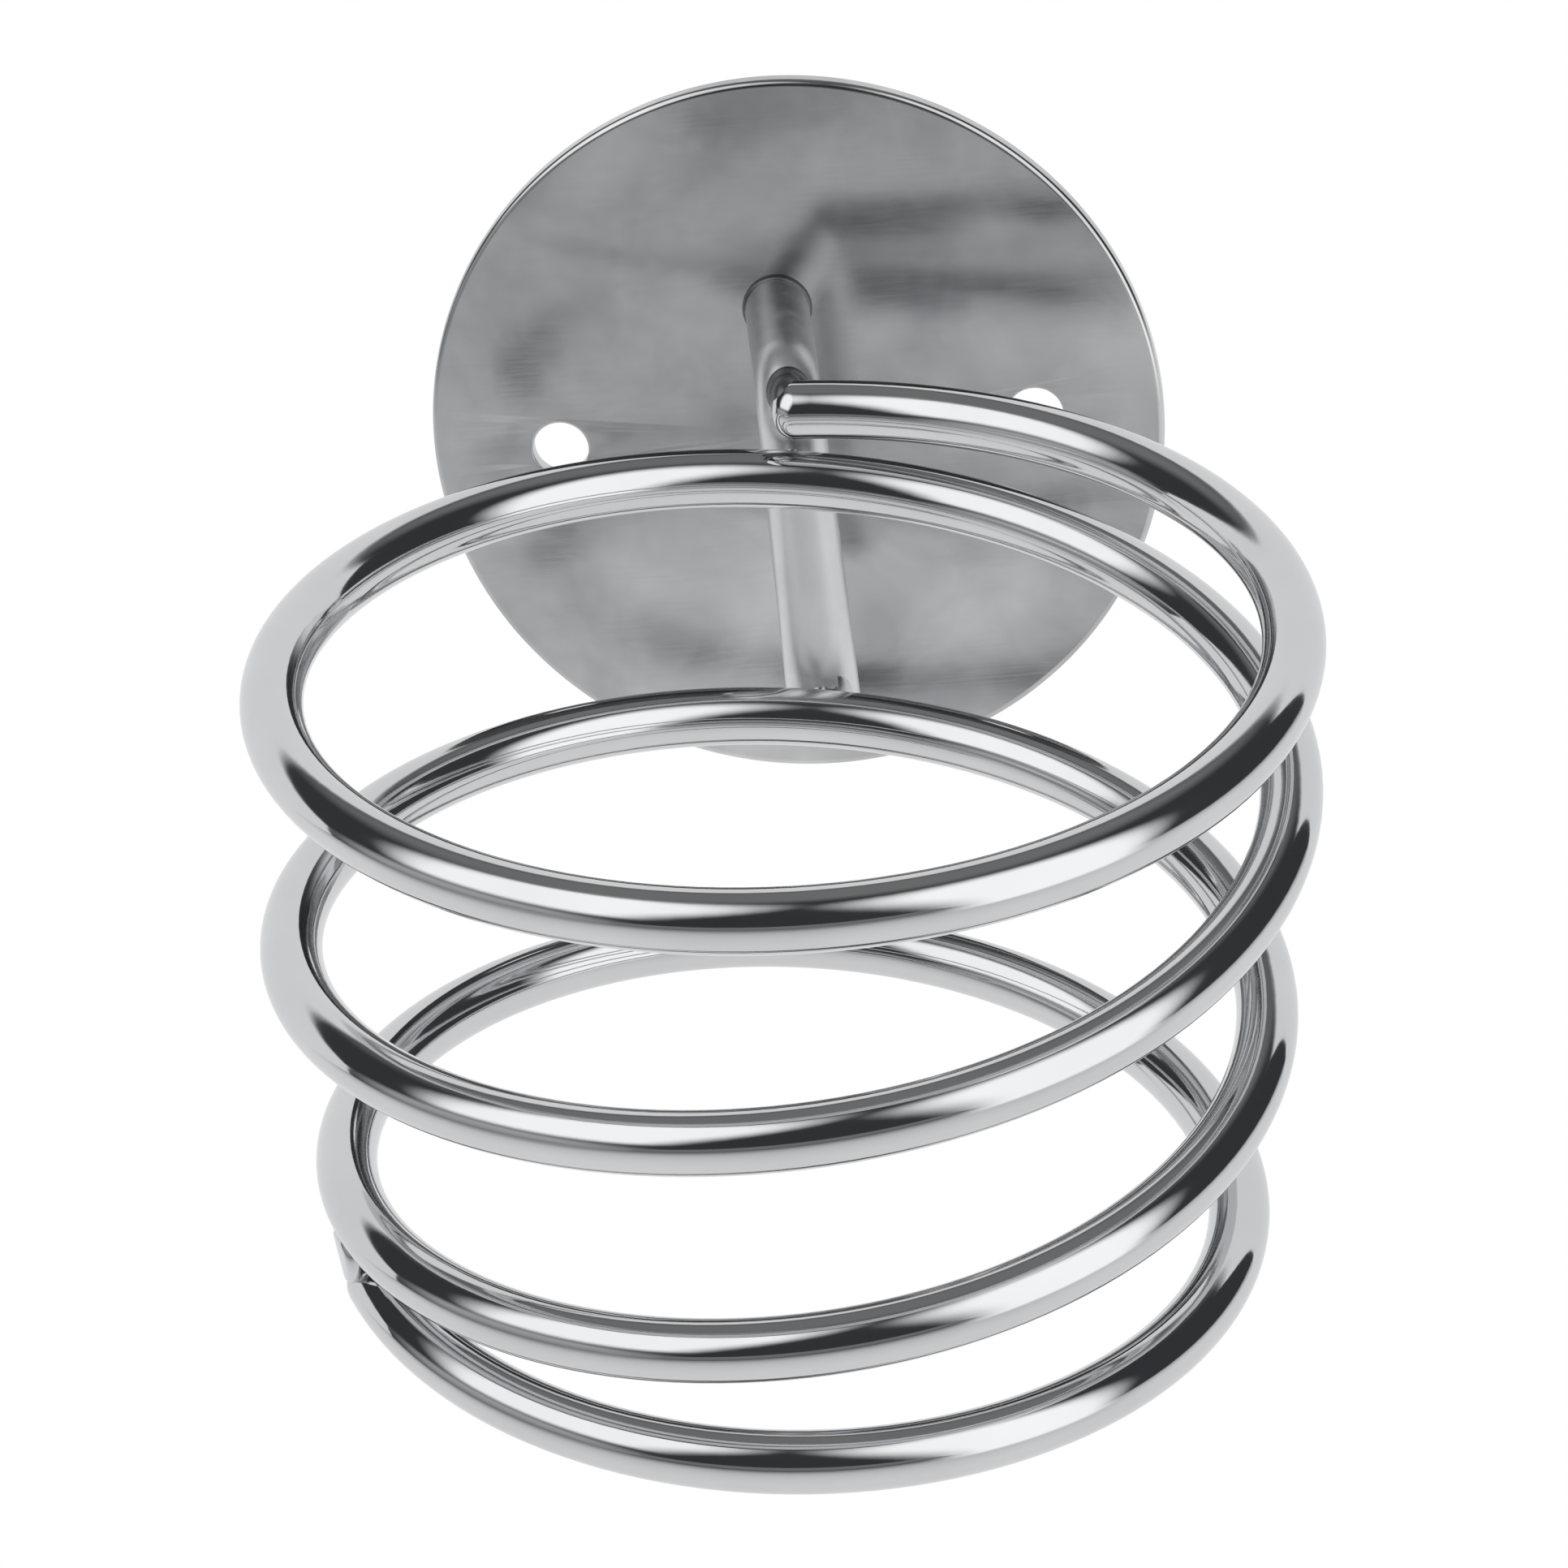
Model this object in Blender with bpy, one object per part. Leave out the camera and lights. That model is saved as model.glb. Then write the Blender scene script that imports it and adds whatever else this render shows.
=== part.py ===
"""Spiral hair dryer holder: a round wall plate, a bent support rod and one long coiled wire, all welded.

Frame: metres, +Z up. The plate lies in the XZ plane with its back, the face that meets the wall,
at y = 0, and the coil stands out towards -Y. The origin is the centre of the plate's back face.
"""

from math import cos, pi, radians, sin, tau

import bmesh
import bpy
from mathutils import Matrix, Vector

MM = 0.001

# Wall plate
PLATE_RADIUS = 39.3 * MM
PLATE_THICKNESS = 2.0 * MM
PLATE_EDGE_ROUND = 0.7 * MM
HOLE_RADIUS = 3.0 * MM
HOLE_SPACING = 51.2 * MM

# Coiled wire. Turns are counted from the start of the wire, at the back of the coil.
WIRE_RADIUS = 3.0 * MM
COIL_CENTRE = Vector((5.0, -80.2, 8.6)) * MM  # middle of the first turn, level with the wire's start
COIL_LEAN_FORWARD = radians(6.4)
COIL_LEAN_SIDEWAYS = radians(3.8)
COIL_START_ANGLE = radians(5.1)
COIL_STEP_SIDEWAYS, COIL_STEP_BACK = 0.022, 0.038  # how far the turns shift over for each unit of height
COIL_START, COIL_TURNS = 0.003, 3.708
TOP_TURN_RADIUS = 48.2 * MM  # to the middle of the wire
BOTTOM_TURN_RADIUS = 43.8 * MM
TAPER_FROM, TAPER_TO = 1.61, 3.03
START_RISE = 0.1 * MM  # climb per turn of the level start
FIRST_DROP = 30.6 * MM  # fall per turn from the back of the first turn to the front of the second
OPEN_DROP = 24.6 * MM  # fall per turn of the open turns below
CLOSING_RISE = 12.4 * MM  # climb per turn of the last stretch, which comes up under the turn above
OPENING_FROM, OPENING_TO = 0.41, 1.09
EASING_FROM, EASING_TO = 1.34, 1.46
CLOSING_FROM, CLOSING_TO = 3.03, 3.40

# Support rod, round where it leaves the plate and pressed flatter towards its lower end
ROD_RADIUS = 3.4 * MM
ROD_BASE = Vector((-0.6, 0.0, 14.2)) * MM
ROD_SIDE = 2.2 * MM
ROD_BOTTOM = -23.5 * MM
ROD_ELBOW_RADIUS = 5.0 * MM
ROD_END_HALF_WIDTH = 3.9 * MM
ROD_END_HALF_DEPTH = 3.0 * MM

# Welds, as half sizes along X, Y and Z
START_WELD_SIZE = Vector((3.2, 2.8, 2.6)) * MM
CROSSING_WELD_SIZE = Vector((3.0, 1.5, 1.3)) * MM
TAIL_WELD_SIZE = Vector((1.4, 4.0, 1.6)) * MM

GAP = 0.3 * MM  # between the wire, the rod and the plate
WELD_GAP = 0.15 * MM  # between a weld and the bars beside it
END_ROUND = 0.6 * MM

WIRE_SIDES = 16
RINGS_PER_TURN = 56
ROD_SIDES = 20
PLATE_SIDES = 96
HOLE_SIDES = 32


def material(name, colour, roughness):
    made = bpy.data.materials.new(name)
    made.use_nodes = True
    shader = made.node_tree.nodes["Principled BSDF"]
    shader.inputs["Base Color"].default_value = (*colour, 1.0)
    shader.inputs["Metallic"].default_value = 1.0
    shader.inputs["Roughness"].default_value = roughness
    return made


def add_object(name, mesh, finish=None):
    """Put a finished mesh in the scene, round faces shaded smooth and corners kept sharp."""
    mesh.shade_smooth()
    mesh.set_sharp_from_angle(angle=radians(35))
    made = bpy.data.objects.new(name, mesh)
    bpy.context.collection.objects.link(made)
    if finish:
        mesh.materials.append(finish)
    return made


def mesh_from(name, bm):
    bmesh.ops.recalc_face_normals(bm, faces=bm.faces[:])
    mesh = bpy.data.meshes.new(name)
    bm.to_mesh(mesh)
    bm.free()
    return mesh


def sweep(name, centres, half_sizes, sides):
    """A closed bar through the centres, whose section is an ellipse of (half width, half depth) at each."""
    count = len(centres)
    tangents = [
        (centres[min(i + 1, count - 1)] - centres[max(i - 1, 0)]).normalized() for i in range(count)
    ]
    across = tangents[0].orthogonal()
    if abs(tangents[0].x) < 0.9:
        across = Vector((1.0, 0.0, 0.0))
    bm = bmesh.new()
    rings = []
    for centre, tangent, (half_width, half_depth) in zip(centres, tangents, half_sizes):
        across = (across - tangent * across.dot(tangent)).normalized()
        other = tangent.cross(across)
        rings.append(
            [
                bm.verts.new(
                    centre
                    + across * half_width * cos(tau * k / sides)
                    + other * half_depth * sin(tau * k / sides)
                )
                for k in range(sides)
            ]
        )
    for ring, following in zip(rings, rings[1:]):
        for k in range(sides):
            nxt = (k + 1) % sides
            bm.faces.new((ring[k], ring[nxt], following[nxt], following[k]))
    bm.faces.new(reversed(rings[0]))
    bm.faces.new(rings[-1])
    return mesh_from(name, bm)


def with_round_ends(centres, half_sizes):
    """The same bar with a small rounded edge at each end."""
    steps = 3

    def end(edge, inner, size):
        direction = (edge - inner).normalized()
        made = []
        for step in range(steps + 1):
            turn = pi / 2 * step / steps
            place = edge - direction * END_ROUND * (1 - sin(turn))
            cut = END_ROUND * (1 - cos(turn))
            made.append((place, (size[0] - cut, size[1] - cut)))
        return made

    first = end(centres[0], centres[1], half_sizes[0])
    last = end(centres[-1], centres[-2], half_sizes[-1])
    whole = list(reversed(first)) + list(zip(centres, half_sizes))[1:-1] + last
    return [place for place, _ in whole], [size for _, size in whole]


def eased_run(turn, start, stop):
    """Integral over the turns of a smooth step that rises from 0 at start to 1 at stop."""
    span = stop - start
    u = (turn - start) / span
    if u <= 0:
        return 0.0
    if u >= 1:
        return span * (u - 0.5)
    return span * (u**3 - u**4 / 2)


def coil_height(turn):
    opening = eased_run(turn, OPENING_FROM, OPENING_TO)
    easing = eased_run(turn, EASING_FROM, EASING_TO)
    closing = eased_run(turn, CLOSING_FROM, CLOSING_TO)
    level = START_RISE * (turn - opening)
    falling = FIRST_DROP * (opening - easing) + OPEN_DROP * (easing - closing)
    return level - falling + CLOSING_RISE * closing


def coil_radius(turn):
    u = min(max((turn - TAPER_FROM) / (TAPER_TO - TAPER_FROM), 0.0), 1.0)
    return TOP_TURN_RADIUS + (BOTTOM_TURN_RADIUS - TOP_TURN_RADIUS) * u * u * (3 - 2 * u)


COIL_PLACE = (
    Matrix.Translation(COIL_CENTRE)
    @ Matrix.Rotation(COIL_LEAN_FORWARD, 4, "X")
    @ Matrix.Rotation(COIL_LEAN_SIDEWAYS, 4, "Y")
    @ Matrix.Rotation(COIL_START_ANGLE, 4, "Z")
)


def coil_point(turn):
    """Middle of the wire this many turns from its start: back, right, front, left, and down."""
    radius, height = coil_radius(turn), coil_height(turn)
    x = radius * sin(tau * turn) + COIL_STEP_SIDEWAYS * height
    y = radius * cos(tau * turn) + COIL_STEP_BACK * height
    return COIL_PLACE @ Vector((x, y, height))


def coil_stretch(first, last, radius):
    count = max(2, round((last - first) * RINGS_PER_TURN)) + 1
    centres = [coil_point(first + (last - first) * i / (count - 1)) for i in range(count)]
    return centres, [(radius, radius)] * count


def turn_behind(near):
    """The turn near this one at which the wire passes straight in front of the rod."""
    turn = near
    for _ in range(8):
        step = 0.001
        slope = (coil_point(turn + step).x - coil_point(turn - step).x) / (2 * step)
        turn += (ROD_SIDE - coil_point(turn).x) / slope
    return turn


FIRST_JOINT, SECOND_JOINT, THIRD_JOINT = (turn_behind(near) for near in (0.0, 1.0, 2.0))


def rod_half_size(height):
    """Half width and half depth of the rod's section at a height on its upright part."""
    share = min(max((ROD_BASE.z - height) / (ROD_BASE.z - ROD_BOTTOM), 0.0), 1.0)
    return (
        ROD_RADIUS + (ROD_END_HALF_WIDTH - ROD_RADIUS) * share,
        ROD_RADIUS + (ROD_END_HALF_DEPTH - ROD_RADIUS) * share,
    )


def rod_depth(height):
    """How far from the wall the middle of the upright part is, so that the wire just clears its front."""
    top, bottom = coil_point(SECOND_JOINT), coil_point(THIRD_JOINT)
    share = (height - top.z) / (bottom.z - top.z)
    wire = top.y + (bottom.y - top.y) * share
    return wire + WIRE_RADIUS + GAP + rod_half_size(height)[1]


def rod_route():
    """Centres and sections: straight out of the plate, round the elbow, and down behind the coil."""
    start = Vector((ROD_BASE.x, -PLATE_THICKNESS - GAP, ROD_BASE.z))
    corner = Vector((ROD_SIDE, rod_depth(ROD_BASE.z), ROD_BASE.z))
    foot = Vector((ROD_SIDE, rod_depth(ROD_BOTTOM), ROD_BOTTOM))
    outward = (corner - start).normalized()
    downward = (foot - corner).normalized()
    bend_start = corner - outward * ROD_ELBOW_RADIUS
    bend_end = corner + downward * ROD_ELBOW_RADIUS
    square_foot = start + Vector((0.0, -1.0 * MM, 0.0))
    centres = [start, square_foot, square_foot.lerp(bend_start, 0.5)]
    bend_steps = 10
    for step in range(bend_steps + 1):
        turn = pi / 2 * step / bend_steps
        centres.append(
            corner
            - outward * ROD_ELBOW_RADIUS * (1 - sin(turn))
            + downward * ROD_ELBOW_RADIUS * (1 - cos(turn))
        )
    down_steps = 8
    centres += [bend_end.lerp(foot, step / down_steps) for step in range(1, down_steps + 1)]
    return centres, [rod_half_size(centre.z) for centre in centres]


def cut_with(target, cutters):
    for cutter in cutters:
        cutter.hide_render = True
        cutter.display_type = "WIRE"
        boolean = target.modifiers.new(f"cut_{cutter.name}", "BOOLEAN")
        boolean.operation = "DIFFERENCE"
        boolean.solver = "EXACT"
        boolean.object = cutter


def turned(name, outline, sides, place):
    """A solid turned about its own Z axis from (radius, height) points, closed on the axis or as a ring."""
    bm = bmesh.new()
    on_axis = outline[0][0] == 0.0
    loops = []
    for radius, height in outline:
        if radius == 0.0:
            loops.append([bm.verts.new((0.0, 0.0, height))])
            continue
        loops.append(
            [
                bm.verts.new((radius * cos(tau * k / sides), radius * sin(tau * k / sides), height))
                for k in range(sides)
            ]
        )
    pairs = list(zip(loops, loops[1:])) + ([] if on_axis else [(loops[-1], loops[0])])
    for lower, upper in pairs:
        for k in range(sides):
            nxt = (k + 1) % sides
            corners = [loop[i % len(loop)] for loop, i in ((lower, k), (lower, nxt), (upper, nxt), (upper, k))]
            bm.faces.new(list(dict.fromkeys(corners)))
    bmesh.ops.transform(bm, matrix=place, verts=bm.verts[:])
    return mesh_from(name, bm)


def wall_plate():
    """A flat disc with a rounded front edge and two screw holes on the level line through its centre."""
    round_steps = 4
    edge = [
        (
            PLATE_RADIUS - PLATE_EDGE_ROUND * (1 - cos(pi / 2 * step / round_steps)),
            PLATE_THICKNESS - PLATE_EDGE_ROUND * (1 - sin(pi / 2 * step / round_steps)),
        )
        for step in range(round_steps + 1)
    ]
    outline = [(0.0, 0.0), (PLATE_RADIUS, 0.0), *edge, (0.0, PLATE_THICKNESS)]
    facing_out = Matrix.Rotation(radians(90), 4, "X")
    plate = add_object(
        "wall_plate",
        turned("wall_plate", outline, PLATE_SIDES, facing_out),
        material("plate_steel", (0.62, 0.63, 0.64), 0.22),
    )
    hole = [(0.0, -PLATE_THICKNESS), (HOLE_RADIUS, -PLATE_THICKNESS)]
    hole += [(HOLE_RADIUS, 2 * PLATE_THICKNESS), (0.0, 2 * PLATE_THICKNESS)]
    cutters = []
    for name, side in (("left_hole", -1), ("right_hole", 1)):
        place = Matrix.Translation((side * HOLE_SPACING / 2, 0.0, 0.0)) @ facing_out
        cutters.append(add_object(name, turned(name, hole, HOLE_SIDES, place)))
    cut_with(plate, cutters)


def support_rod():
    centres, half_sizes = rod_route()
    ends = with_round_ends(centres, half_sizes)
    add_object(
        "support_rod",
        sweep("support_rod", *ends, ROD_SIDES),
        material("rod_steel", (0.66, 0.67, 0.68), 0.18),
    )


def coil_wire():
    centres, half_sizes = coil_stretch(COIL_START, COIL_TURNS, WIRE_RADIUS)
    ends = with_round_ends(centres, half_sizes)
    add_object(
        "coil_wire",
        sweep("coil_wire", *ends, WIRE_SIDES),
        material("coil_chrome", (0.72, 0.73, 0.74), 0.08),
    )


def weld_finish():
    return bpy.data.materials.get("weld_metal") or material("weld_metal", (0.55, 0.56, 0.57), 0.35)


def rod_base_weld():
    """A fine, hollow-faced ring of weld round the rod where it stands on the plate."""
    reach = 0.5 * MM
    inner = ROD_RADIUS + GAP + 0.1 * MM
    steps = 4
    outline = [(inner, 0.0), (inner + reach, 0.0)]
    outline += [
        (inner + reach * (1 - sin(pi / 2 * step / steps)), reach * (1 - cos(pi / 2 * step / steps)))
        for step in range(1, steps)
    ]
    outline += [(inner, reach)]
    foot = Vector((ROD_BASE.x, -PLATE_THICKNESS - GAP, ROD_BASE.z))
    place = Matrix.Translation(foot) @ Matrix.Rotation(radians(90), 4, "X")
    add_object("weld_rod_base", turned("weld_rod_base", outline, ROD_SIDES, place), weld_finish())


def bead(name, centre, size, cutters):
    """A lump of weld, cut back so that it stays clear of the bars that it fills the crevice between."""
    bm = bmesh.new()
    bmesh.ops.create_uvsphere(bm, u_segments=20, v_segments=12, radius=1.0)
    place = Matrix.Translation(centre) @ Matrix.Diagonal((*size, 1.0))
    bmesh.ops.transform(bm, matrix=place, verts=bm.verts[:])
    lump = add_object(name, mesh_from(name, bm), weld_finish())
    cut_with(lump, cutters)


def wire_cutter(name, turn):
    """A short stretch of the wire, grown by the gap that a weld keeps to it."""
    reach = 0.04
    stretch = coil_stretch(turn - reach, turn + reach, WIRE_RADIUS + WELD_GAP)
    return add_object(name, sweep(name, *stretch, 2 * WIRE_SIDES))


def crossing_welds():
    """The weld between the wire's start and the elbow, and one above each turn that passes the rod."""
    centres, half_sizes = rod_route()
    grown = [(width + WELD_GAP, depth + WELD_GAP) for width, depth in half_sizes]
    rod_cut = add_object("rod_cut", sweep("rod_cut", centres, grown, 2 * ROD_SIDES))
    for name, turn, size, behind, above in (
        ("weld_coil_start", FIRST_JOINT, START_WELD_SIZE, 1.35, 0.2),
        ("weld_first_turn", SECOND_JOINT, CROSSING_WELD_SIZE, 0.8, 0.85),
        ("weld_second_turn", THIRD_JOINT, CROSSING_WELD_SIZE, 0.8, 0.85),
    ):
        wire = coil_point(turn)
        centre = Vector((ROD_SIDE, wire.y + behind * WIRE_RADIUS, wire.z + above * WIRE_RADIUS))
        bead(name, centre, size, [wire_cutter(f"{name}_cut", turn), rod_cut])


def tail_weld():
    """The weld along the outside of the seam between the wire's end and the turn above it."""
    turn = COIL_TURNS - 0.01
    tail, above = coil_point(turn), coil_point(turn - 1.0)
    middle = (tail + above) / 2
    outward = Vector((middle.x - COIL_CENTRE.x, middle.y - COIL_CENTRE.y, 0.0)).normalized()
    cutters = [wire_cutter("tail_cut", turn), wire_cutter("above_tail_cut", turn - 1.0)]
    bead("weld_coil_tail", middle + outward * 0.6 * WIRE_RADIUS, TAIL_WELD_SIZE, cutters)


for old in list(bpy.data.objects):
    bpy.data.objects.remove(old, do_unlink=True)

wall_plate()
support_rod()
coil_wire()
rod_base_weld()
crossing_welds()
tail_weld()
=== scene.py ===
"""Looks for the spiral hair dryer holder: chromed coil, bright rod, satin wall plate and their welds.

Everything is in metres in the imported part's frame: the plate's back is at y = 0, the coil stands out
towards -Y and +Z is up. The object has no joints, so every piece rides on the body "root".
"""

from math import cos, pi, radians, sin, tau

import bmesh
import bpy
from mathutils import Euler, Matrix, Vector


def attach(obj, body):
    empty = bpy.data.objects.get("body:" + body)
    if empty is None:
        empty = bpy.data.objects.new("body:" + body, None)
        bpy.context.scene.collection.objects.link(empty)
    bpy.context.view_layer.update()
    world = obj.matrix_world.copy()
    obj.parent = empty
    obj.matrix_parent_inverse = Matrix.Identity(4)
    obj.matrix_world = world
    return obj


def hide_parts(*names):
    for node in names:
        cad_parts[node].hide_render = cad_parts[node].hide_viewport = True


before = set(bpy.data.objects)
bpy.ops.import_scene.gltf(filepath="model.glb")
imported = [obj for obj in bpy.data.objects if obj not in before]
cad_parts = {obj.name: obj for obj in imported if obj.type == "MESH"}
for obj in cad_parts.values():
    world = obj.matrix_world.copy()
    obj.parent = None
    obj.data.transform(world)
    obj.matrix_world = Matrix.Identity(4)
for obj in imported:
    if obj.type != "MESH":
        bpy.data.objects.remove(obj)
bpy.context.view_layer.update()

MM = 0.001

# The same design as the CAD part
PLATE_RADIUS = 39.3 * MM
PLATE_THICKNESS = 2.0 * MM
PLATE_EDGE_ROUND = 0.7 * MM
HOLE_RADIUS = 3.0 * MM
HOLE_LIP = 0.25 * MM
HOLE_SPACING = 51.2 * MM

WIRE_RADIUS = 3.0 * MM
COIL_CENTRE = Vector((5.0, -80.2, 8.6)) * MM
COIL_LEAN_FORWARD = radians(6.4)
COIL_LEAN_SIDEWAYS = radians(3.8)
COIL_START_ANGLE = radians(5.1)
COIL_STEP_SIDEWAYS, COIL_STEP_BACK = 0.022, 0.038
COIL_START, COIL_TURNS = 0.001, 3.702
COIL_START_ROUND, COIL_TAIL_ROUND = 2.4 * MM, 2.2 * MM
TOP_TURN_RADIUS = 48.2 * MM
BOTTOM_TURN_RADIUS = 43.8 * MM
TAPER_FROM, TAPER_TO = 1.61, 3.03
START_RISE = 0.1 * MM
FIRST_DROP = 30.6 * MM
OPEN_DROP = 24.6 * MM
CLOSING_RISE = 12.4 * MM
OPENING_FROM, OPENING_TO = 0.41, 1.09
EASING_FROM, EASING_TO = 1.34, 1.46
CLOSING_FROM, CLOSING_TO = 3.03, 3.40

ROD_RADIUS = 3.4 * MM
ROD_BASE = Vector((-0.6, 0.0, 14.2)) * MM
ROD_SIDE = 2.2 * MM
ROD_BOTTOM = -23.5 * MM
ROD_ELBOW_RADIUS = 5.0 * MM
ROD_END_HALF_WIDTH = 3.9 * MM
ROD_END_HALF_DEPTH = 3.0 * MM
ROD_FOOT_ROUND, ROD_END_ROUND = 0.2 * MM, 0.8 * MM
GAP = 0.3 * MM

# Weld between two bars: how far it reaches past them, and where its skin starts and ends its dive
WELD_OVER = 0.1 * MM
WELD_SKIN = 0.16 * MM
WELD_CLEAR, WELD_GONE = 3.8 * MM, 5.4 * MM

# How fine the shown meshes are
WIRE_SIDES = 40
RINGS_PER_TURN = 144
ROD_SIDES = 44
PLATE_SIDES = 224
HOLE_SIDES = 64

# Studio: directions are seen from the middle of the object, as degrees right of straight ahead and up
STUDIO_MIDDLE = Vector((0.0, -0.06, 0.0))
FLOOR_LEVEL = -0.5
FLOOR_LIGHT = 0.84
WALL_BEHIND = 0.75
WALL_TOP = 0.80
WALL_FADE = 0.08
WALL_LEFT, WALL_RIGHT = 6.0, 1.0
SOFTBOX_EDGE = 0.17
SOFTBOX_CORNER = 2.3
ROOM_LIGHT = 0.045
ROOM_TINT = (0.94, 0.98, 1.06)


# ---------------------------------------------------------------- shapes


def mesh_from(name, bm):
    bmesh.ops.recalc_face_normals(bm, faces=bm.faces[:])
    mesh = bpy.data.meshes.new(name)
    bm.to_mesh(mesh)
    bm.free()
    return mesh


def add_object(name, mesh, sharp_above=40.0):
    mesh.shade_smooth()
    mesh.set_sharp_from_angle(angle=radians(sharp_above))
    made = bpy.data.objects.new(name, mesh)
    bpy.context.scene.collection.objects.link(made)
    return made


def sweep(name, centres, half_sizes, sides):
    """A closed bar through the centres, whose section is an ellipse of (half width, half depth) at each."""
    count = len(centres)
    tangents = [
        (centres[min(i + 1, count - 1)] - centres[max(i - 1, 0)]).normalized() for i in range(count)
    ]
    across = Vector((1.0, 0.0, 0.0)) if abs(tangents[0].x) < 0.9 else tangents[0].orthogonal()
    bm = bmesh.new()
    rings = []
    for centre, tangent, (half_width, half_depth) in zip(centres, tangents, half_sizes):
        across = (across - tangent * across.dot(tangent)).normalized()
        other = tangent.cross(across)
        ring = []
        for k in range(sides):
            angle = tau * k / sides
            offset = across * half_width * cos(angle) + other * half_depth * sin(angle)
            ring.append(bm.verts.new(centre + offset))
        rings.append(ring)
    for ring, following in zip(rings, rings[1:]):
        for k in range(sides):
            nxt = (k + 1) % sides
            bm.faces.new((ring[k], ring[nxt], following[nxt], following[k]))
    bm.faces.new(reversed(rings[0]))
    bm.faces.new(rings[-1])
    return mesh_from(name, bm)


def with_round_ends(centres, half_sizes, first_round, last_round, steps=8):
    """The same bar with each end rounded over by its own amount."""

    def end(edge, inner, size, amount):
        direction = (edge - inner).normalized()
        made = []
        for step in range(steps + 1):
            turn = pi / 2 * step / steps
            place = edge - direction * amount * (1 - sin(turn))
            cut = amount * (1 - cos(turn))
            made.append((place, (size[0] - cut, size[1] - cut)))
        return made

    def kept(place, edge, inner, amount):
        return (edge - place).dot((edge - inner).normalized()) > amount * 1.05

    first = end(centres[0], centres[1], half_sizes[0], first_round)
    last = end(centres[-1], centres[-2], half_sizes[-1], last_round)
    reach = 2 * max(first_round, last_round)
    middle = [
        (place, size)
        for place, size in zip(centres, half_sizes)
        if ((place - centres[0]).length > reach or kept(place, centres[0], centres[1], first_round))
        and ((place - centres[-1]).length > reach or kept(place, centres[-1], centres[-2], last_round))
    ]
    whole = list(reversed(first)) + middle + last
    return [place for place, _ in whole], [size for _, size in whole]


def eased_run(turn, start, stop):
    span = stop - start
    u = (turn - start) / span
    if u <= 0:
        return 0.0
    if u >= 1:
        return span * (u - 0.5)
    return span * (u**3 - u**4 / 2)


def coil_height(turn):
    opening = eased_run(turn, OPENING_FROM, OPENING_TO)
    easing = eased_run(turn, EASING_FROM, EASING_TO)
    closing = eased_run(turn, CLOSING_FROM, CLOSING_TO)
    level = START_RISE * (turn - opening)
    falling = FIRST_DROP * (opening - easing) + OPEN_DROP * (easing - closing)
    return level - falling + CLOSING_RISE * closing


def coil_radius(turn):
    u = min(max((turn - TAPER_FROM) / (TAPER_TO - TAPER_FROM), 0.0), 1.0)
    return TOP_TURN_RADIUS + (BOTTOM_TURN_RADIUS - TOP_TURN_RADIUS) * u * u * (3 - 2 * u)


COIL_PLACE = (
    Matrix.Translation(COIL_CENTRE)
    @ Matrix.Rotation(COIL_LEAN_FORWARD, 4, "X")
    @ Matrix.Rotation(COIL_LEAN_SIDEWAYS, 4, "Y")
    @ Matrix.Rotation(COIL_START_ANGLE, 4, "Z")
)


def coil_point(turn):
    radius, height = coil_radius(turn), coil_height(turn)
    x = radius * sin(tau * turn) + COIL_STEP_SIDEWAYS * height
    y = radius * cos(tau * turn) + COIL_STEP_BACK * height
    return COIL_PLACE @ Vector((x, y, height))


def coil_stretch(first, last, radius, rings_per_turn=RINGS_PER_TURN):
    count = max(8, round((last - first) * rings_per_turn)) + 1
    centres = [coil_point(first + (last - first) * i / (count - 1)) for i in range(count)]
    return centres, [(radius, radius)] * count


def turn_behind(near):
    """The turn near this one at which the wire passes straight in front of the rod."""
    turn = near
    for _ in range(8):
        step = 0.001
        slope = (coil_point(turn + step).x - coil_point(turn - step).x) / (2 * step)
        turn += (ROD_SIDE - coil_point(turn).x) / slope
    return turn


FIRST_JOINT, SECOND_JOINT, THIRD_JOINT = (turn_behind(near) for near in (0.0, 1.0, 2.0))


def rod_half_size(height):
    share = min(max((ROD_BASE.z - height) / (ROD_BASE.z - ROD_BOTTOM), 0.0), 1.0)
    return (
        ROD_RADIUS + (ROD_END_HALF_WIDTH - ROD_RADIUS) * share,
        ROD_RADIUS + (ROD_END_HALF_DEPTH - ROD_RADIUS) * share,
    )


def rod_depth(height):
    top, bottom = coil_point(SECOND_JOINT), coil_point(THIRD_JOINT)
    share = (height - top.z) / (bottom.z - top.z)
    wire = top.y + (bottom.y - top.y) * share
    return wire + WIRE_RADIUS + GAP + rod_half_size(height)[1]


def rod_route():
    """Centres and sections: straight out of the plate, round the elbow, and down behind the coil."""
    start = Vector((ROD_BASE.x, -PLATE_THICKNESS - GAP, ROD_BASE.z))
    corner = Vector((ROD_SIDE, rod_depth(ROD_BASE.z), ROD_BASE.z))
    foot = Vector((ROD_SIDE, rod_depth(ROD_BOTTOM), ROD_BOTTOM))
    outward = (corner - start).normalized()
    downward = (foot - corner).normalized()
    bend_start = corner - outward * ROD_ELBOW_RADIUS
    bend_end = corner + downward * ROD_ELBOW_RADIUS
    stem_steps, bend_steps, down_steps = 10, 28, 24
    centres = [start.lerp(bend_start, step / stem_steps) for step in range(stem_steps)]
    for step in range(bend_steps + 1):
        turn = pi / 2 * step / bend_steps
        along = outward * (1 - sin(turn))
        down = downward * (1 - cos(turn))
        centres.append(corner + ROD_ELBOW_RADIUS * (down - along))
    centres += [bend_end.lerp(foot, step / down_steps) for step in range(1, down_steps + 1)]
    return centres, [rod_half_size(centre.z) for centre in centres]


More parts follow.
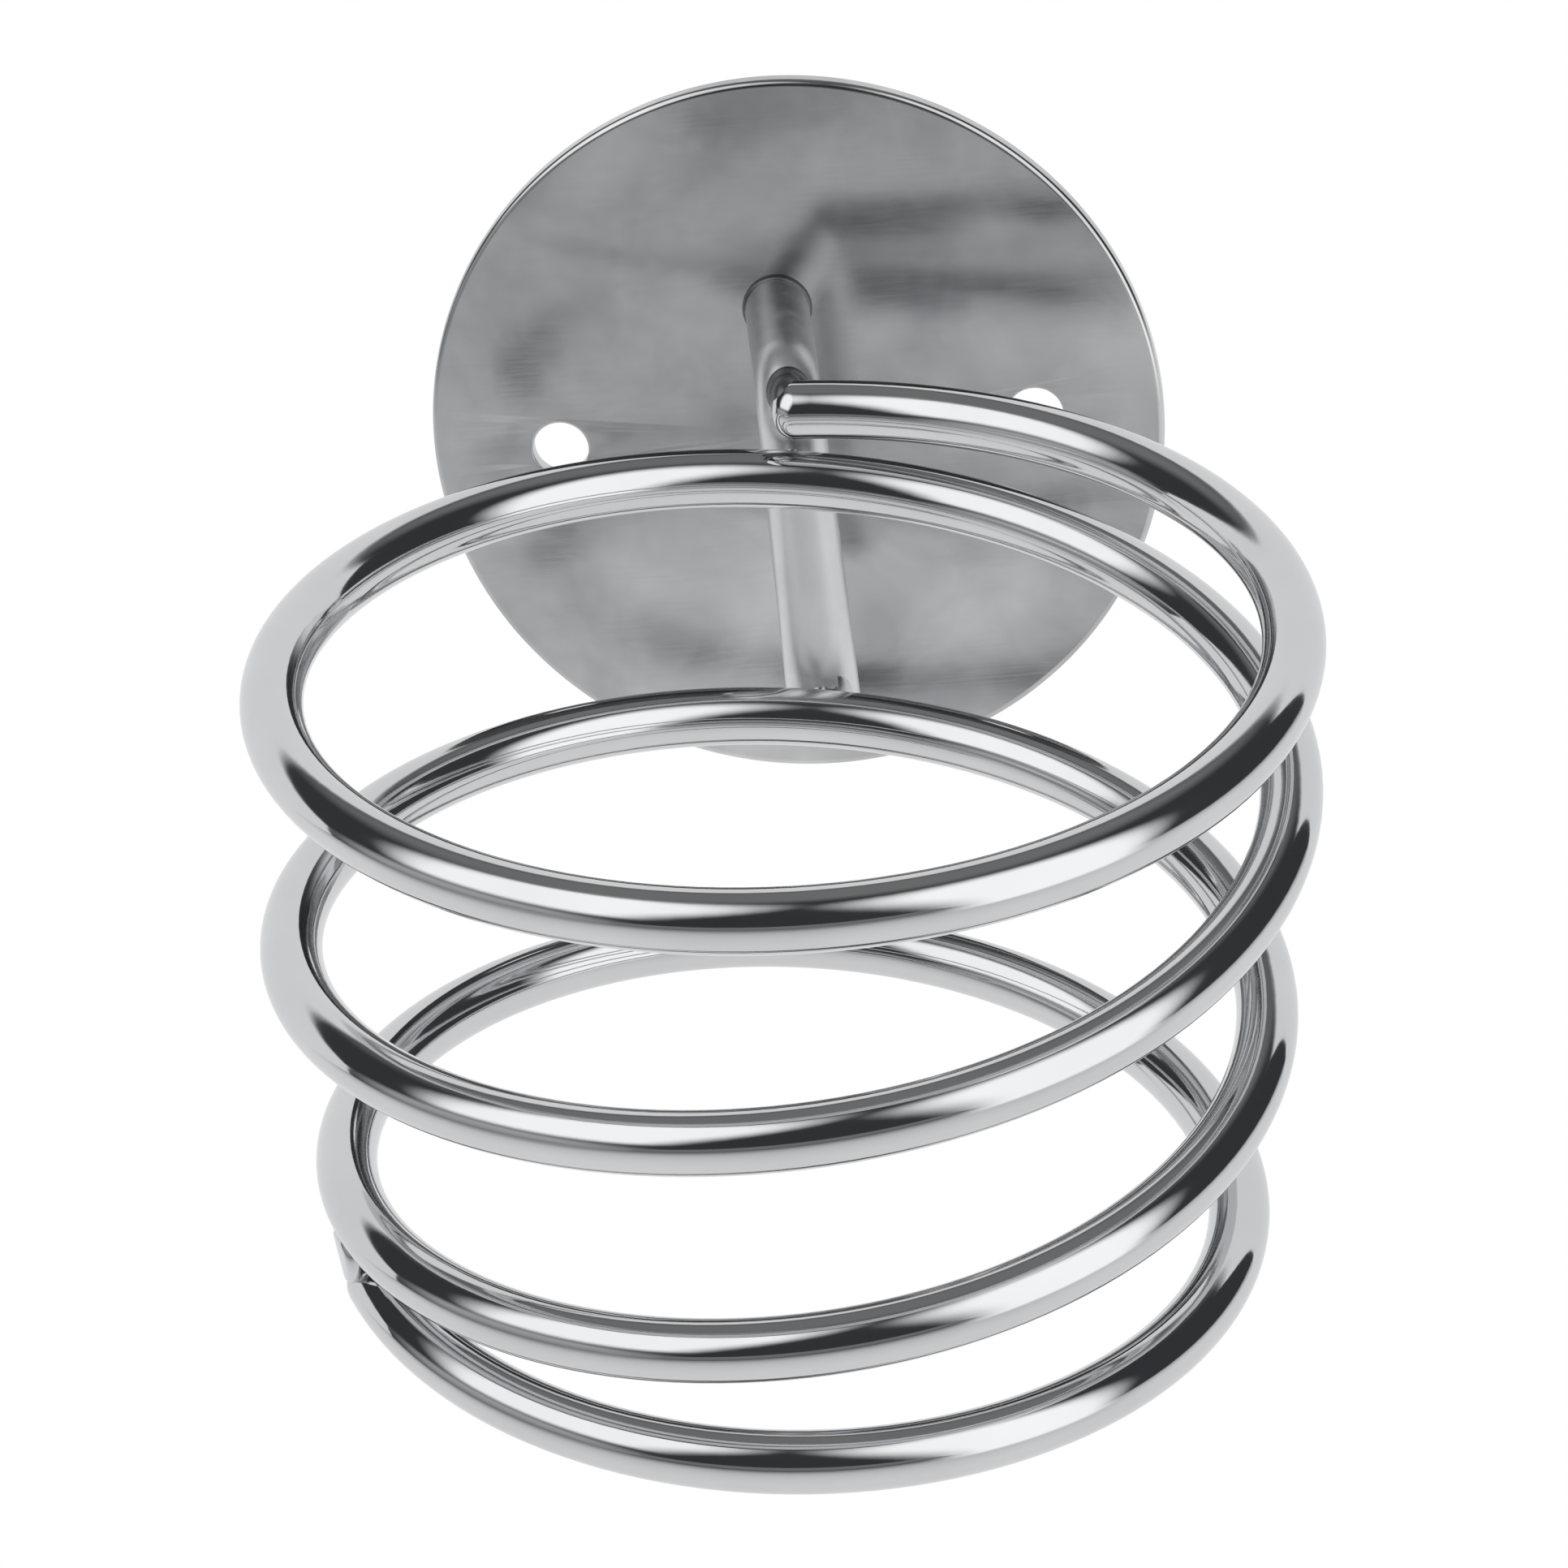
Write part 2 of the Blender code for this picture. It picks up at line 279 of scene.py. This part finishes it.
def turned(name, outline, sides, place):
    """A solid turned about its own Z axis from (radius, height) points, closed on the axis or as a ring."""
    bm = bmesh.new()
    on_axis = outline[0][0] == 0.0
    loops = []
    for radius, height in outline:
        if radius == 0.0:
            loops.append([bm.verts.new((0.0, 0.0, height))])
            continue
        angles = [tau * k / sides for k in range(sides)]
        loops.append([bm.verts.new((radius * cos(a), radius * sin(a), height)) for a in angles])
    pairs = list(zip(loops, loops[1:])) + ([] if on_axis else [(loops[-1], loops[0])])
    for lower, upper in pairs:
        for k in range(sides):
            nxt = (k + 1) % sides
            around = ((lower, k), (lower, nxt), (upper, nxt), (upper, k))
            corners = [loop[i % len(loop)] for loop, i in around]
            bm.faces.new(list(dict.fromkeys(corners)))
    bmesh.ops.transform(bm, matrix=place, verts=bm.verts[:])
    return mesh_from(name, bm)


def settle(made):
    """Apply the object's modifiers, so that its mesh is the shape that shows."""
    graph = bpy.context.evaluated_depsgraph_get()
    mesh = bpy.data.meshes.new_from_object(made.evaluated_get(graph), depsgraph=graph)
    made.modifiers.clear()
    made.data = mesh
    return made


def remove(*objects):
    for gone in objects:
        bpy.data.objects.remove(gone, do_unlink=True)


# ---------------------------------------------------------------- pieces


def make_plate():
    """A flat disc with a rounded front edge and two screw holes with softened lips."""
    steps = 10
    outline = [(0.0, 0.0), (PLATE_RADIUS - 0.15 * MM, 0.0), (PLATE_RADIUS, 0.15 * MM)]
    for step in range(steps + 1):
        turn = pi / 2 * step / steps
        rim = PLATE_RADIUS - PLATE_EDGE_ROUND * (1 - cos(turn))
        outline.append((rim, PLATE_THICKNESS - PLATE_EDGE_ROUND * (1 - sin(turn))))
    outline.append((0.0, PLATE_THICKNESS))
    facing_out = Matrix.Rotation(radians(90), 4, "X")
    plate = add_object("round_plate", turned("round_plate", outline, PLATE_SIDES, facing_out))
    lip = [(HOLE_RADIUS, PLATE_THICKNESS - HOLE_LIP)]
    for step in range(1, 6):
        turn = pi / 2 * step / 5
        lip.append((HOLE_RADIUS + HOLE_LIP * (1 - cos(turn)), PLATE_THICKNESS - HOLE_LIP * (1 - sin(turn))))
    wide = HOLE_RADIUS + HOLE_LIP
    bore = [(0.0, -PLATE_THICKNESS), (HOLE_RADIUS, -PLATE_THICKNESS), *lip]
    bore += [(wide, 2 * PLATE_THICKNESS), (0.0, 2 * PLATE_THICKNESS)]
    cutters = []
    for side in (-1, 1):
        place = Matrix.Translation((side * HOLE_SPACING / 2, 0.0, 0.0)) @ facing_out
        cutter = add_object("bore", turned("bore", bore, HOLE_SIDES, place))
        cut = plate.modifiers.new("bore", "BOOLEAN")
        cut.operation, cut.solver, cut.object = "DIFFERENCE", "EXACT", cutter
        cutters.append(cutter)
    settle(plate)
    remove(*cutters)
    plate.data.shade_smooth()
    plate.data.set_sharp_from_angle(angle=radians(30))
    return plate


def make_rod():
    ends = with_round_ends(*rod_route(), ROD_FOOT_ROUND, ROD_END_ROUND)
    return add_object("bent_rod", sweep("bent_rod", *ends, ROD_SIDES))


def make_coil():
    whole = coil_stretch(COIL_START, COIL_TURNS, WIRE_RADIUS)
    ends = with_round_ends(*whole, COIL_START_ROUND, COIL_TAIL_ROUND)
    return add_object("chromed_coil", sweep("chromed_coil", *ends, WIRE_SIDES))


def make_base_weld():
    """A thin, hollow-faced line of weld round the rod where it stands on the plate. It wears the dark weld,
    whose darkness is painted shade for the groove round the rod's foot.
    """
    reach, steps, sides = 0.35 * MM, 8, 72
    inner = ROD_RADIUS - 0.4 * MM
    outer = ROD_RADIUS - 0.05 * MM
    outline = [(inner, -GAP), (outer + reach, -GAP)]
    for step in range(steps + 1):
        turn = pi / 2 * step / steps
        outline.append((outer + reach * (1 - sin(turn)), reach * (1 - cos(turn))))
    outline.append((inner, reach))
    foot = Vector((ROD_BASE.x, -PLATE_THICKNESS - GAP, ROD_BASE.z))
    place = Matrix.Translation(foot) @ Matrix.Rotation(radians(90), 4, "X")
    return add_object("weld_ring", turned("weld_ring", outline, sides, place))


def melted(name, parts, middle, grain, rounds, sink):
    """Weld as one skin over the parts, whose hollows fill as it is smoothed. Away from the middle it sinks
    into the bars it joins."""
    bm = bmesh.new()
    for mesh in parts:
        bm.from_mesh(mesh)
    lump = add_object(name, mesh_from(name, bm), 180.0)
    remesh = lump.modifiers.new("skin", "REMESH")
    remesh.mode, remesh.voxel_size, remesh.use_smooth_shade = "VOXEL", grain, True
    smooth = lump.modifiers.new("melt", "SMOOTH")
    smooth.factor, smooth.iterations = 0.5, rounds
    settle(lump)
    normals = [vertex.normal.copy() for vertex in lump.data.vertices]
    for vertex, normal in zip(lump.data.vertices, normals):
        off = (vertex.co - middle).length
        away = min(max((off - WELD_CLEAR) / (WELD_GONE - WELD_CLEAR), 0.0), 1.0)
        vertex.co -= normal * (WELD_SKIN + sink * away * away * (3 - 2 * away))
    lump.data.shade_smooth()
    return lump


def make_start_weld():
    """A bead run over the top of the wire's end and on across the gap to the elbow. It wears the dark weld:
    painted shade for the crevice between the wire's end and the elbow.
    """
    place = coil_point(FIRST_JOINT)
    drops = []
    for middle, size in (((0.4, 1.0, 1.1), (1.9, 3.0, 2.4)), ((0.4, 3.9, 0.4), (2.5, 2.6, 2.9))):
        bm = bmesh.new()
        bmesh.ops.create_uvsphere(bm, u_segments=48, v_segments=32, radius=1.0)
        shape = Matrix.Translation(place + Vector(middle) * MM) @ Matrix.Diagonal((*(Vector(size) * MM), 1.0))
        bmesh.ops.transform(bm, matrix=shape, verts=bm.verts[:])
        drops.append(mesh_from("drop", bm))
    return melted("weld_start", drops, place, grain=0.25 * MM, rounds=8, sink=0.0)


def make_crossing_weld(name, turn):
    """The weld that fills the crevice where the wire passes in front of the rod."""
    along_wire, along_rod = 0.022, 6.5 * MM
    bar = coil_stretch(turn - along_wire, turn + along_wire, WIRE_RADIUS + WELD_OVER)
    wire = sweep("wire", *bar, WIRE_SIDES)
    place = coil_point(turn)
    centres, sizes = rod_route()
    low, high = max(place.z - along_rod, ROD_BOTTOM + 0.6 * MM), place.z + along_rod
    upright = [
        (centre, (size[0] + WELD_OVER, size[1] + WELD_OVER))
        for centre, size in zip(centres, sizes)
        if low < centre.z < high and centre.y < rod_depth(ROD_BASE.z) + 2.5 * MM
    ]
    rod = sweep("rod", [c for c, _ in upright], [s for _, s in upright], ROD_SIDES)
    middle = place + Vector((0.0, WIRE_RADIUS, 0.0))
    return melted(name, [wire, rod], middle, grain=0.28 * MM, rounds=14, sink=0.8 * MM)


def make_tail_weld():
    """The wire's end run together with the turn above it."""
    bm = bmesh.new()
    for first, last in ((COIL_TURNS - 0.018, COIL_TURNS), (COIL_TURNS - 1.022, COIL_TURNS - 0.988)):
        bar = coil_stretch(first, last, WIRE_RADIUS + 0.12 * MM)
        bar = with_round_ends(*bar, COIL_TAIL_ROUND, COIL_TAIL_ROUND)
        bm.from_mesh(sweep("bar", *bar, WIRE_SIDES))
    made = bmesh.ops.convex_hull(bm, input=bm.verts[:])
    inside = set(made["geom_interior"] + made["geom_unused"])
    loose = [item for item in inside if isinstance(item, bmesh.types.BMVert)]
    bmesh.ops.delete(bm, geom=loose, context="VERTS")
    middle = (coil_point(COIL_TURNS - 0.004) + coil_point(COIL_TURNS - 1.004)) / 2
    hull = mesh_from("hull", bm)
    return melted("weld_tail", [hull], middle, grain=0.25 * MM, rounds=16, sink=2.4 * MM)


# ---------------------------------------------------------------- materials


class Nodes:
    """Short calls for building one material's nodes."""

    def __init__(self, name):
        self.material = bpy.data.materials.new(name)
        self.material.use_nodes = True
        self.tree = self.material.node_tree
        self.shader = self.tree.nodes["Principled BSDF"]

    def add(self, kind, inputs=(), **settings):
        node = self.tree.nodes.new(kind)
        for key, value in settings.items():
            setattr(node, key, value)
        for key, value in dict(inputs).items():
            self.put(node.inputs[key], value)
        return node

    def put(self, socket, value):
        if isinstance(value, bpy.types.NodeSocket):
            self.tree.links.new(value, socket)
        else:
            socket.default_value = value

    def place(self, scale=(1.0, 1.0, 1.0), turn=(0.0, 0.0, 0.0)):
        """Where a point is on the object, in metres, stretched and turned."""
        spot = self.add("ShaderNodeTexCoord").outputs["Object"]
        mapping = self.add("ShaderNodeMapping", {"Vector": spot, "Scale": scale, "Rotation": turn})
        return mapping.outputs["Vector"]

    def noise(self, vector, scale, detail=4.0, roughness=0.55, distortion=0.0):
        values = {"Vector": vector, "Scale": scale, "Detail": detail, "Roughness": roughness}
        values["Distortion"] = distortion
        return self.add("ShaderNodeTexNoise", values).outputs["Fac"]

    def spread(self, value, from_low, from_high, low, high):
        values = {"Value": value, "From Min": from_low, "From Max": from_high}
        values.update({"To Min": low, "To Max": high})
        return self.add("ShaderNodeMapRange", values).outputs["Result"]

    def mix(self, factor, low, high):
        node = self.add("ShaderNodeMix", data_type="RGBA")
        for socket, value in zip((node.inputs[0], node.inputs[6], node.inputs[7]), (factor, low, high)):
            self.put(socket, value)
        return node.outputs[2]

    def maths(self, operation, first, second=0.0):
        node = self.add("ShaderNodeMath", {0: first, 1: second}, operation=operation)
        return node.outputs[0]

    def clouded(self, cloud, low, high, spread=(0.35, 0.65)):
        """A colour that wanders between two with the clouds."""
        return self.mix(self.spread(cloud, *spread, 0.0, 1.0), (*low, 1.0), (*high, 1.0))

    def bump(self, height, distance, strength=1.0, after=None):
        values = {"Height": height, "Distance": distance, "Strength": strength}
        if after:
            values["Normal"] = after
        return self.add("ShaderNodeBump", values).outputs["Normal"]

    def finish(self, **sockets):
        for name, value in sockets.items():
            self.put(self.shader.inputs[name.replace("_", " ").title()], value)
        return self.material


def chrome():
    """Mirror chrome on drawn wire: faint clouding, finer pores and a trace of the drawing waves."""
    n = Nodes("coil_chrome")
    cloud = n.noise(n.place(), 55.0)
    haze = n.noise(n.place(), 420.0, 3.0)
    waves = n.noise(n.place(), 140.0, 2.0)
    colour = n.clouded(cloud, (0.655, 0.665, 0.68), (0.70, 0.705, 0.715))
    roughness = n.maths("ADD", n.spread(cloud, 0.3, 0.7, 0.05, 0.08), n.spread(haze, 0.45, 0.7, 0.0, 0.02))
    normal = n.bump(haze, 0.004 * MM, 0.6, n.bump(waves, 0.02 * MM, 0.6))
    return n.finish(Base_Color=colour, Metallic=1.0, Roughness=roughness, Normal=normal)


def rod_steel():
    """Satin plating on the rod, faintly clouded."""
    n = Nodes("rod_steel")
    cloud = n.noise(n.place(), 90.0)
    haze = n.noise(n.place(), 600.0, 3.0)
    colour = n.clouded(cloud, (0.70, 0.71, 0.72), (0.80, 0.805, 0.81))
    roughness = n.maths("ADD", n.spread(cloud, 0.3, 0.7, 0.31, 0.39), n.spread(haze, 0.45, 0.7, 0.0, 0.06))
    normal = n.bump(haze, 0.006 * MM, 0.6, n.bump(cloud, 0.05 * MM, 0.6))
    return n.finish(Base_Color=colour, Metallic=1.0, Roughness=roughness, Normal=normal)


def plate_steel():
    """Plate steel, half polished: cloudy patches, uneven gloss, fine rubbing marks and a slight waviness."""
    n = Nodes("plate_steel")
    cloud = n.noise(n.place(), 38.0, 3.0, 0.5, 0.3)
    blotch = n.noise(n.place(), 95.0, 3.0, 0.6, 0.4)
    rubbing = n.noise(n.place((160.0, 1.0, 3500.0), (0.0, radians(8), 0.0)), 1.0, 4.0)
    patches = n.maths("ADD", n.maths("MULTIPLY", cloud, 0.65), n.maths("MULTIPLY", blotch, 0.35))
    colour = n.clouded(patches, (0.44, 0.45, 0.465), (0.68, 0.685, 0.69), (0.38, 0.62))
    gloss = n.spread(patches, 0.35, 0.65, 0.11, 0.19)
    roughness = n.maths("ADD", gloss, n.spread(rubbing, 0.4, 0.7, 0.0, 0.04))
    normal = n.bump(rubbing, 0.002 * MM, 0.5, n.bump(cloud, 0.25 * MM, 0.6))
    return n.finish(Base_Color=colour, Metallic=1.0, Roughness=roughness, Normal=normal)


def weld_metal(name, shade, rougher):
    """Weld metal, as smooth as its place in the object shows it. Shade scales its colour: at 1.0 it is the
    weld's own colour, and a low shade makes a darker copy whose darkness is painted shade.
    """
    n = Nodes(name)
    ripple = n.noise(n.place(), 700.0, 3.0)
    cloud = n.noise(n.place(), 160.0, 3.0)
    # a low shade here paints shade into the weld's colour
    low, high = Vector((0.50, 0.51, 0.525)) * shade, Vector((0.64, 0.645, 0.655)) * shade
    colour = n.clouded(cloud, low, high)
    gloss = n.spread(cloud, 0.3, 0.7, 0.16 + rougher, 0.26 + rougher)
    roughness = n.maths("ADD", gloss, n.spread(ripple, 0.45, 0.7, 0.0, 0.06))
    normal = n.bump(ripple, 0.02 * MM, 0.6)
    return n.finish(Base_Color=colour, Metallic=1.0, Roughness=roughness, Normal=normal)


# ---------------------------------------------------------------- studio


def direction(right, up):
    a, e = radians(right), radians(up)
    return Vector((sin(a) * cos(e), -cos(a) * cos(e), sin(e)))


def emission(name, colour=(1.0, 1.0, 1.0)):
    """A light-giving material, still without its strength."""
    n = Nodes(name)
    n.tree.nodes.remove(n.shader)
    light = n.add("ShaderNodeEmission", {"Color": (*colour, 1.0)})
    n.tree.links.new(light.outputs[0], n.tree.nodes["Material Output"].inputs["Surface"])
    return n, light.inputs["Strength"]


def see_through_edges(n, fades):
    """Where a light has faded, what is behind it shows."""
    light = n.tree.nodes["Emission"]
    clear = n.add("ShaderNodeBsdfTransparent")
    share = n.maths("MULTIPLY", *fades)
    mixed = n.add("ShaderNodeMixShader", {0: share, 1: clear.outputs[0], 2: light.outputs[0]})
    n.tree.links.new(mixed.outputs[0], n.tree.nodes["Material Output"].inputs["Surface"])


def card(name, place, width, height, finish):
    """A flat card of the studio, which reflections see and the camera doesn't."""
    bm = bmesh.new()
    bmesh.ops.create_grid(bm, x_segments=1, y_segments=1, size=0.5)
    bmesh.ops.scale(bm, vec=(width, height, 1.0), verts=bm.verts[:])
    made = add_object(name, mesh_from(name, bm))
    made.matrix_world = place
    made.data.materials.append(finish)
    made.visible_camera = False


def softbox(name, right, up, across, along, strength, soft=SOFTBOX_EDGE, lean=0.0):
    """A light with faded edges and a round-cornered top, 1 m off and square on to a direction. It reaches
    from the first to the second number of across and of along, in metres from there, and may lean."""
    n, socket = emission(name)
    spot = n.add("ShaderNodeSeparateXYZ", {"Vector": n.add("ShaderNodeTexCoord").outputs["Object"]})
    half, middle = (across[1] - across[0]) / 2, (across[1] + across[0]) / 2
    upward = spot.outputs["Y"]
    sideways = n.maths("SUBTRACT", spot.outputs["X"], n.maths("MULTIPLY", upward, lean))
    off_middle = n.maths("DIVIDE", n.maths("ABSOLUTE", n.maths("SUBTRACT", sideways, middle)), half)
    off_foot = n.maths("DIVIDE", n.maths("MAXIMUM", upward, 0.0), along[1])
    powers = (n.maths("POWER", off_middle, SOFTBOX_CORNER), n.maths("POWER", off_foot, SOFTBOX_CORNER))
    reached = n.maths("POWER", n.maths("ADD", *powers), 1 / SOFTBOX_CORNER)
    fades = []
    for value, start, stop in (
        (reached, 1 + soft / half, 1 - soft / half),
        (upward, along[0] - soft, along[0] + soft),
    ):
        rising = {"From Min": min(start, stop), "From Max": max(start, stop)}
        rising.update({"To Min": float(start > stop), "To Max": float(start < stop), "Value": value})
        fade = n.add("ShaderNodeMapRange", rising, interpolation_type="SMOOTHSTEP")
        fades.append(fade.outputs["Result"])
    n.put(socket, strength)
    towards = direction(right, up)
    turn = towards.to_track_quat("Z", "Y").to_matrix().to_4x4()
    see_through_edges(n, fades)
    width = 2 * (abs(middle) + half + soft + abs(lean) * max(abs(along[0]), along[1]))
    height = 2 * (max(abs(along[0]), along[1]) * (1 + soft / half) + soft)
    card(name, Matrix.Translation(STUDIO_MIDDLE + towards) @ turn, width, height, n.material)


def faded_floor():
    """Pale floor, lit best under and behind the object and dimmer far in front of it."""
    n, socket = emission("studio_floor")
    spot = n.add("ShaderNodeTexCoord").outputs["Object"]
    far = n.add("ShaderNodeVectorMath", {0: spot, 1: (0.8, 1.1, 1.0)}, operation="MULTIPLY")
    reach = n.add("ShaderNodeVectorMath", {0: far.outputs[0]}, operation="LENGTH")
    n.put(socket, n.spread(reach.outputs["Value"], 1.2, 4.2, FLOOR_LIGHT, 0.4 * FLOOR_LIGHT))
    wide = 12.0
    card("studio_floor", Matrix.Translation((0.0, WALL_BEHIND, FLOOR_LEVEL)), wide, wide, n.material)


def wall_behind():
    """Pale wall behind the object, whose top edge fades into the dark room."""
    n, socket = emission("studio_wall")
    n.put(socket, FLOOR_LIGHT)
    height = n.add("ShaderNodeSeparateXYZ", {"Vector": n.add("ShaderNodeTexCoord").outputs["Object"]})
    tall = WALL_TOP + WALL_FADE - FLOOR_LEVEL
    edges = {"From Min": tall / 2 - 2 * WALL_FADE, "From Max": tall / 2, "To Min": 1.0, "To Max": 0.0}
    edges["Value"] = height.outputs["Y"]
    fade = n.add("ShaderNodeMapRange", edges, interpolation_type="SMOOTHSTEP")
    see_through_edges(n, (fade.outputs["Result"], 1.0))
    middle = ((WALL_RIGHT - WALL_LEFT) / 2, WALL_BEHIND, (FLOOR_LEVEL + WALL_TOP + WALL_FADE) / 2)
    place = Matrix.Translation(middle) @ Matrix.Rotation(radians(90), 4, "X")
    card("studio_wall", place, WALL_LEFT + WALL_RIGHT, tall, n.material)


def studio():
    softbox("left_softbox", -52.0, 50.0, (-0.46, 0.52), (-0.58, 0.58), 1.26)
    softbox("right_softbox", 51.0, 29.0, (-0.36, 0.50), (-1.05, 0.76), 1.30, 0.17, -0.06)
    softbox("low_left_haze", -58.0, 4.0, (-0.60, 0.50), (-0.15, 0.20), 0.45, 0.25)
    softbox("front_haze", 0.0, 0.0, (-0.90, 0.90), (-0.10, 0.10), 0.20, 0.10)
    softbox("dim_ceiling", 180.0, 70.0, (-0.55, 0.55), (-0.45, 0.45), 0.20, 0.25)
    faded_floor()
    wall_behind()

    world = bpy.data.worlds.new("studio_room")
    world.use_nodes = True
    tree = world.node_tree
    room = tree.nodes["Background"]
    room.inputs["Color"].default_value = (*ROOM_TINT, 1.0)
    room.inputs["Strength"].default_value = ROOM_LIGHT
    plain = tree.nodes.new("ShaderNodeBackground")
    plain.inputs["Color"].default_value = (1.0, 1.0, 1.0, 1.0)
    seen = tree.nodes.new("ShaderNodeLightPath")
    chosen = tree.nodes.new("ShaderNodeMixShader")
    tree.links.new(seen.outputs["Is Camera Ray"], chosen.inputs["Fac"])
    tree.links.new(room.outputs[0], chosen.inputs[1])
    tree.links.new(plain.outputs[0], chosen.inputs[2])
    tree.links.new(chosen.outputs[0], tree.nodes["World Output"].inputs["Surface"])
    scene = bpy.context.scene
    scene.world = world
    scene.view_settings.view_transform = "Standard"


def camera():
    data = bpy.data.cameras.new("camera")
    data.sensor_width = 36.0
    data.lens = 134.46
    data.clip_start, data.clip_end = 0.02, 30.0
    made = bpy.data.objects.new("camera", data)
    made.location = (0.06528, -0.58517, 0.22392)
    made.rotation_euler = Euler((radians(65.568), radians(6.0515), radians(4.2039)))
    bpy.context.scene.collection.objects.link(made)
    bpy.context.scene.camera = made


# ---------------------------------------------------------------- the whole


def dress(piece, finish, slot, *nodes):
    piece.data.materials.clear()
    piece.data.materials.append(finish)
    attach(piece, "root")
    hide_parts(*nodes)


# the dark weld at shade 0.30 is painted shade, standing for the shade in the crevice at the coil's start and
# in the groove round the rod's foot
bright_weld, shade_painted_weld = weld_metal("bright_weld", 1.0, 0.0), weld_metal("shade_painted_weld", 0.30, 0.16)
shiny = chrome()
dress(make_plate(), plate_steel(), "plate_steel", "wall_plate")
dress(make_rod(), rod_steel(), "rod_steel", "support_rod")
dress(make_coil(), shiny, "coil_chrome", "coil_wire")
# the foot ring's dark weld is painted shade for the groove round the rod's foot
dress(make_base_weld(), shade_painted_weld, "weld_metal", "weld_rod_base")
# the start bead's dark weld is painted shade for the crevice between the wire's end and the elbow
dress(make_start_weld(), shade_painted_weld, "weld_metal", "weld_coil_start")
dress(make_crossing_weld("weld_upper", SECOND_JOINT), bright_weld, "weld_metal", "weld_first_turn")
dress(make_crossing_weld("weld_lower", THIRD_JOINT), bright_weld, "weld_metal", "weld_second_turn")
dress(make_tail_weld(), shiny, "weld_metal", "weld_coil_tail")
studio()
camera()
